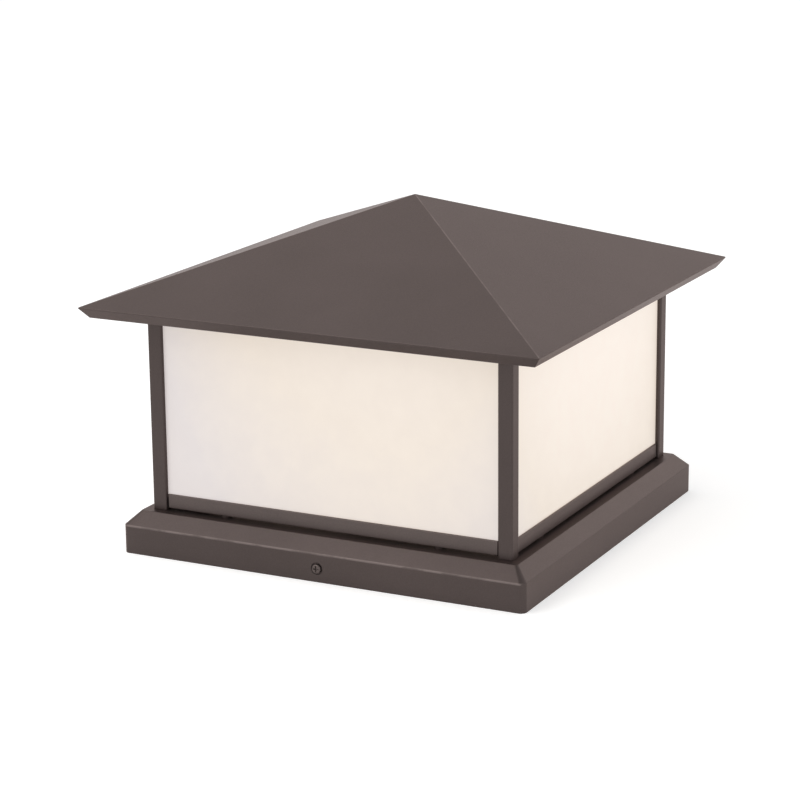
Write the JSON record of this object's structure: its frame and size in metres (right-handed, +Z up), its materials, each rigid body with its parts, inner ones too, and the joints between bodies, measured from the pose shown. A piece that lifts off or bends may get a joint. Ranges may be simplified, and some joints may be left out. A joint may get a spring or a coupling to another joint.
{
  "type": "pier mount lantern",
  "caption": "Low square lantern for a masonry pier: hipped roof, slim corner posts, opal glass panes and a chamfered cast base over a bolt-down plate.",
  "frame": {"origin": "on top of the pier, under the middle of the square base", "axes": "+Z up, -Y toward the front, the side that the picture shows with its screw; +X to the right seen from the front"},
  "size_m": [0.406, 0.406, 0.2849],
  "materials": {
    "bronze_coat": "satin dark bronze powder coat with a very fine texture",
    "bronze_screw": "dark bronze coated steel",
    "opal_glass": "etched opal, lit from inside",
    "lamp_glass": "frosted white",
    "zinc_steel": "zinc plated",
    "green_screw": "green dyed steel",
    "white_enamel": "semi-gloss white",
    "ceramic_white": "glazed",
    "brass": "drawn, bare",
    "nickel_cap": "nickel plated",
    "black_rubber": "matt",
    "black_nylon": "matt",
    "lead_sleeve": "woven glass sleeve",
    "terminal_ivory": "matt"
  },
  "bodies": {
    "mount": {"cable_grommet": "black_rubber", "earth_screw": "green_screw", "mounting_plate": "zinc_steel"},
    "lantern": {"base_casting": "bronze_coat", "block_screws": "zinc_steel", "bottom_rail_front": "bronze_coat", "bottom_rail_left": "bronze_coat", "bottom_rail_rear": "bronze_coat", "bottom_rail_right": "bronze_coat", "centre_contact_1": "brass", "centre_contact_2": "brass", "centre_contact_3": "brass", "deck_bushing": "black_nylon", "frame_post_screws": "zinc_steel", "frame_rail_screws": "zinc_steel", "lampholder_1": "ceramic_white", "lampholder_2": "ceramic_white", "lampholder_3": "ceramic_white", "lampholder_screws": "zinc_steel", "lead_1": "lead_sleeve", "lead_2": "lead_sleeve", "lead_3": "lead_sleeve", "pan_screws": "zinc_steel", "pane_front": "opal_glass", "pane_left": "opal_glass", "pane_rear": "opal_glass", "pane_right": "opal_glass", "post_base_screws": "zinc_steel", "post_front_left": "bronze_coat", "post_front_right": "bronze_coat", "post_rear_left": "bronze_coat", "post_rear_right": "bronze_coat", "rail_base_screws": "zinc_steel", "reflector_pan": "white_enamel", "screw_shell_1": "brass", "screw_shell_2": "brass", "screw_shell_3": "brass", "setting_blocks": "black_rubber", "side_nuts": "zinc_steel", "terminal_block": "terminal_ivory", "top_frame": "bronze_coat", "top_rail_front": "bronze_coat", "top_rail_left": "bronze_coat", "top_rail_rear": "bronze_coat", "top_rail_right": "bronze_coat"},
    "roof": {"roof_collar": "bronze_coat", "roof_shell": "bronze_coat"},
    "left_thumbscrew": {"thumbscrew_left": "bronze_screw"},
    "right_thumbscrew": {"thumbscrew_right": "bronze_screw"},
    "front_side_screw": {"side_screw_front": "bronze_screw"},
    "rear_side_screw": {"side_screw_rear": "bronze_screw"},
    "lamp_one": {"lamp_cap_1": "nickel_cap", "lamp_glass_1": "lamp_glass"},
    "lamp_two": {"lamp_cap_2": "nickel_cap", "lamp_glass_2": "lamp_glass"},
    "lamp_three": {"lamp_cap_3": "nickel_cap", "lamp_glass_3": "lamp_glass"}
  },
  "joints": [
    {"name": "lantern_lift", "type": "slide", "parent": "mount", "child": "lantern", "axis": [0, 0, 1], "range_m": [0, 0.06]},
    {"name": "roof_lift", "type": "slide", "parent": "lantern", "child": "roof", "axis": [0, 0, 1], "range_m": [0, 0.12]},
    {"name": "left_thumbscrew_out", "type": "slide", "parent": "lantern", "child": "left_thumbscrew", "axis": [-1, 0, 0], "range_m": [0, 0.003]},
    {"name": "right_thumbscrew_out", "type": "slide", "parent": "lantern", "child": "right_thumbscrew", "axis": [1, 0, 0], "range_m": [0, 0.003]},
    {"name": "front_side_screw_out", "type": "slide", "parent": "lantern", "child": "front_side_screw", "axis": [0, -1, 0], "range_m": [0, 0.003]},
    {"name": "rear_side_screw_out", "type": "slide", "parent": "lantern", "child": "rear_side_screw", "axis": [0, 1, 0], "range_m": [0, 0.003]},
    {"name": "lamp_one_out", "type": "slide", "parent": "lantern", "child": "lamp_one", "axis": [0, 0, 1], "range_m": [0, 0.024]},
    {"name": "lamp_two_out", "type": "slide", "parent": "lantern", "child": "lamp_two", "axis": [0, 0, 1], "range_m": [0, 0.024]},
    {"name": "lamp_three_out", "type": "slide", "parent": "lantern", "child": "lamp_three", "axis": [0, 0, 1], "range_m": [0, 0.024]}
  ]
}
